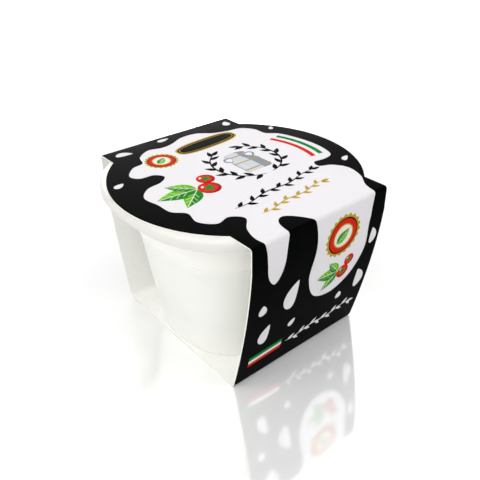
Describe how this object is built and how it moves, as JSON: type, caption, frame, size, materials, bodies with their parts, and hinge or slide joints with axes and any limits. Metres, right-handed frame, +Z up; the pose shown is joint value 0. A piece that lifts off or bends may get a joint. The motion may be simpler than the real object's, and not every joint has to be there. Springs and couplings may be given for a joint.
{
  "type": "burrata tub in a card sleeve",
  "caption": "Shut white plastic tub of burrata with a press-on lid, held in a folded printed card sleeve that is open at both sides.",
  "frame": {"origin": "centre of the underside of the sleeve's base, which is the bottom centre of the whole pack's box", "axes": "+Z up, the printed front panel faces -Y, and the sleeve's open sides face -X and +X"},
  "size_m": [0.1036, 0.1, 0.0704],
  "materials": {
    "printed_card": "print under a satin varnish outside, bare white card inside and on the cut edges",
    "tub_plastic": "satin off-white polypropylene, slightly translucent",
    "lid_plastic": "satin off-white polypropylene"
  },
  "bodies": {
    "root": {"sleeve": "printed_card", "tub": "tub_plastic", "lid": "lid_plastic"}
  },
  "joints": []
}
